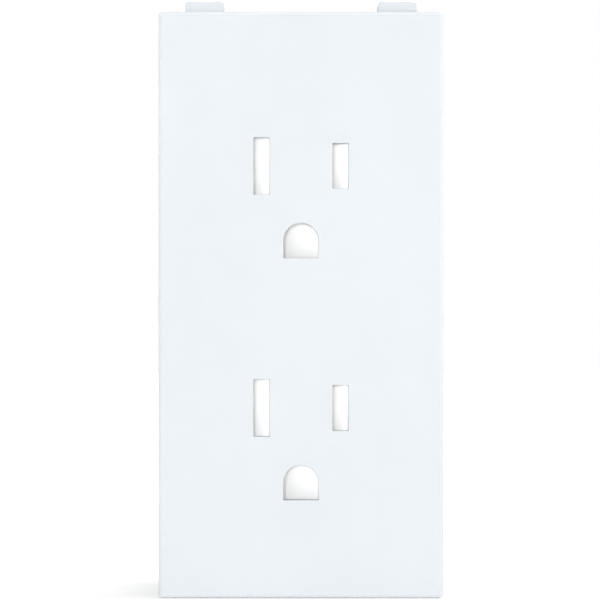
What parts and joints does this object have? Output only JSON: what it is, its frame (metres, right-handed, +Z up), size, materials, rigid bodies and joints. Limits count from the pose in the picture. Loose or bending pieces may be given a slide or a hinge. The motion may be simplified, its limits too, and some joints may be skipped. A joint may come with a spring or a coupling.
{
  "type": "duplex wall outlet",
  "caption": "One-gang flush duplex wall outlet: flat clip-on cover with twin grounded sockets, shuttered contacts, steel strap, side terminals and mounting screws.",
  "frame": {"origin": "midway between the two mounting screws, on the wall's surface, which is the back of the strap's ears", "axes": "+X to the right seen from the room, +Y into the wall, +Z up; the cover's face looks along -Y"},
  "size_m": [0.0458, 0.0308, 0.0959],
  "materials": {
    "cover_plastic": "satin cool white moulded thermoplastic",
    "housing_plastic": "satin white moulded thermoplastic",
    "rear_plastic": "fine matt moulded thermoset, light grey",
    "shutter_plastic": "smooth white low-friction plastic",
    "tray_plastic": "matt off-white moulded plastic",
    "zinc_plated_steel": "zinc plated pressed or turned steel",
    "brass": "bare yellow brass strip and screws",
    "nickel_plated_brass": "bright nickel plating on brass",
    "green_screw": "green dyed plating on steel",
    "spring_steel": "drawn spring wire",
    "retainer_fibre": "dull red-brown vulcanised fibre"
  },
  "bodies": {
    "root": {"front_housing": "housing_plastic", "rear_housing": "rear_plastic", "mounting_strap": "zinc_plated_steel", "hot_contact_strip": "brass", "neutral_contact_strip": "nickel_plated_brass", "ground_contact_upper": "brass", "ground_rivet_upper": "zinc_plated_steel", "shutter_tray_upper": "tray_plastic", "blade_spring_upper": "spring_steel", "ground_spring_upper": "spring_steel", "ground_contact_lower": "brass", "ground_rivet_lower": "zinc_plated_steel", "shutter_tray_lower": "tray_plastic", "blade_spring_lower": "spring_steel", "ground_spring_lower": "spring_steel", "housing_screw_1": "zinc_plated_steel", "housing_screw_2": "zinc_plated_steel", "housing_screw_3": "zinc_plated_steel", "housing_screw_4": "zinc_plated_steel"},
    "front_cover": {"front_cover": "cover_plastic"},
    "ground_screw": {"ground_screw": "green_screw"},
    "ground_clamp": {"ground_clamp": "zinc_plated_steel"},
    "blade_shutter_upper": {"blade_shutter_upper": "shutter_plastic"},
    "ground_shutter_upper": {"ground_shutter_upper": "shutter_plastic"},
    "hot_screw_upper": {"hot_screw_upper": "brass"},
    "hot_clamp_upper": {"hot_clamp_upper": "zinc_plated_steel"},
    "neutral_screw_upper": {"neutral_screw_upper": "nickel_plated_brass"},
    "neutral_clamp_upper": {"neutral_clamp_upper": "zinc_plated_steel"},
    "blade_shutter_lower": {"blade_shutter_lower": "shutter_plastic"},
    "ground_shutter_lower": {"ground_shutter_lower": "shutter_plastic"},
    "hot_screw_lower": {"hot_screw_lower": "brass"},
    "hot_clamp_lower": {"hot_clamp_lower": "zinc_plated_steel"},
    "neutral_screw_lower": {"neutral_screw_lower": "nickel_plated_brass"},
    "neutral_clamp_lower": {"neutral_clamp_lower": "zinc_plated_steel"},
    "mounting_screw_top": {"mounting_screw_top": "zinc_plated_steel"},
    "screw_retainer_top": {"screw_retainer_top": "retainer_fibre"},
    "mounting_screw_bottom": {"mounting_screw_bottom": "zinc_plated_steel"},
    "screw_retainer_bottom": {"screw_retainer_bottom": "retainer_fibre"}
  },
  "joints": [
    {"name": "cover_swing", "type": "hinge", "parent": "root", "child": "front_cover", "pos_m": [0, -0.00235, 0.0465], "axis": [-1, 0, 0], "range_deg": [0, 20]},
    {"name": "blade_shutter_slide_upper", "type": "slide", "parent": "root", "child": "blade_shutter_upper", "axis": [1, 0, 0], "range_m": [0, 0.003], "stiffness_N_per_m": 80, "springref_m": -0.002, "deforming": ["blade_spring_upper"]},
    {"name": "ground_shutter_slide_upper", "type": "slide", "parent": "root", "child": "ground_shutter_upper", "axis": [1, 0, 0], "range_m": [0, 0.0062], "stiffness_N_per_m": 60, "springref_m": -0.003, "deforming": ["ground_spring_upper"]},
    {"name": "blade_shutter_slide_lower", "type": "slide", "parent": "root", "child": "blade_shutter_lower", "axis": [1, 0, 0], "range_m": [0, 0.003], "stiffness_N_per_m": 80, "springref_m": -0.002, "deforming": ["blade_spring_lower"]},
    {"name": "ground_shutter_slide_lower", "type": "slide", "parent": "root", "child": "ground_shutter_lower", "axis": [1, 0, 0], "range_m": [0, 0.0062], "stiffness_N_per_m": 60, "springref_m": -0.003, "deforming": ["ground_spring_lower"]},
    {"name": "hot_screw_turn_upper", "type": "hinge", "parent": "root", "child": "hot_screw_upper", "pos_m": [0.0157, 0.0105, 0.01375], "axis": [1, 0, 0], "range_deg": [-990, 0]},
    {"name": "hot_clamp_slide_upper", "type": "slide", "parent": "root", "child": "hot_clamp_upper", "axis": [1, 0, 0], "range_m": [0, 0.00218]},
    {"name": "hot_screw_turn_lower", "type": "hinge", "parent": "root", "child": "hot_screw_lower", "pos_m": [0.0157, 0.0105, -0.02515], "axis": [1, 0, 0], "range_deg": [-990, 0]},
    {"name": "hot_clamp_slide_lower", "type": "slide", "parent": "root", "child": "hot_clamp_lower", "axis": [1, 0, 0], "range_m": [0, 0.00218]},
    {"name": "neutral_screw_turn_upper", "type": "hinge", "parent": "root", "child": "neutral_screw_upper", "pos_m": [-0.0157, 0.0105, 0.01375], "axis": [-1, 0, 0], "range_deg": [-990, 0]},
    {"name": "neutral_clamp_slide_upper", "type": "slide", "parent": "root", "child": "neutral_clamp_upper", "axis": [-1, 0, 0], "range_m": [0, 0.00218]},
    {"name": "neutral_screw_turn_lower", "type": "hinge", "parent": "root", "child": "neutral_screw_lower", "pos_m": [-0.0157, 0.0105, -0.02515], "axis": [-1, 0, 0], "range_deg": [-990, 0]},
    {"name": "neutral_clamp_slide_lower", "type": "slide", "parent": "root", "child": "neutral_clamp_lower", "axis": [-1, 0, 0], "range_m": [0, 0.00218]},
    {"name": "ground_screw_turn", "type": "hinge", "parent": "root", "child": "ground_screw", "pos_m": [-0.0149, 0.006, 0.0349], "axis": [-1, 0, 0], "range_deg": [-990, 0]},
    {"name": "ground_clamp_slide", "type": "slide", "parent": "root", "child": "ground_clamp", "axis": [-1, 0, 0], "range_m": [0, 0.00218]},
    {"name": "mounting_screw_travel_top", "type": "slide", "parent": "root", "child": "screw_retainer_top", "axis": [0, -1, 0], "range_m": [0, 0.00119]},
    {"name": "mounting_screw_turn_top", "type": "hinge", "parent": "screw_retainer_top", "child": "mounting_screw_top", "pos_m": [0, -0.0016, 0.04165], "axis": [0, -1, 0], "range_deg": [0, 540]},
    {"name": "mounting_screw_travel_bottom", "type": "slide", "parent": "root", "child": "screw_retainer_bottom", "axis": [0, -1, 0], "range_m": [0, 0.00119]},
    {"name": "mounting_screw_turn_bottom", "type": "hinge", "parent": "screw_retainer_bottom", "child": "mounting_screw_bottom", "pos_m": [0, -0.0016, -0.04165], "axis": [0, -1, 0], "range_deg": [0, 540]}
  ],
  "couplings": [
    {"joint": "hot_screw_turn_upper", "follows": "hot_clamp_slide_upper", "rad_per_m": -7915.8},
    {"joint": "hot_screw_turn_lower", "follows": "hot_clamp_slide_lower", "rad_per_m": -7915.8},
    {"joint": "neutral_screw_turn_upper", "follows": "neutral_clamp_slide_upper", "rad_per_m": -7915.8},
    {"joint": "neutral_screw_turn_lower", "follows": "neutral_clamp_slide_lower", "rad_per_m": -7915.8},
    {"joint": "ground_screw_turn", "follows": "ground_clamp_slide", "rad_per_m": -7915.8},
    {"joint": "mounting_screw_turn_top", "follows": "mounting_screw_travel_top", "rad_per_m": 7915.8},
    {"joint": "mounting_screw_turn_bottom", "follows": "mounting_screw_travel_bottom", "rad_per_m": 7915.8}
  ]
}
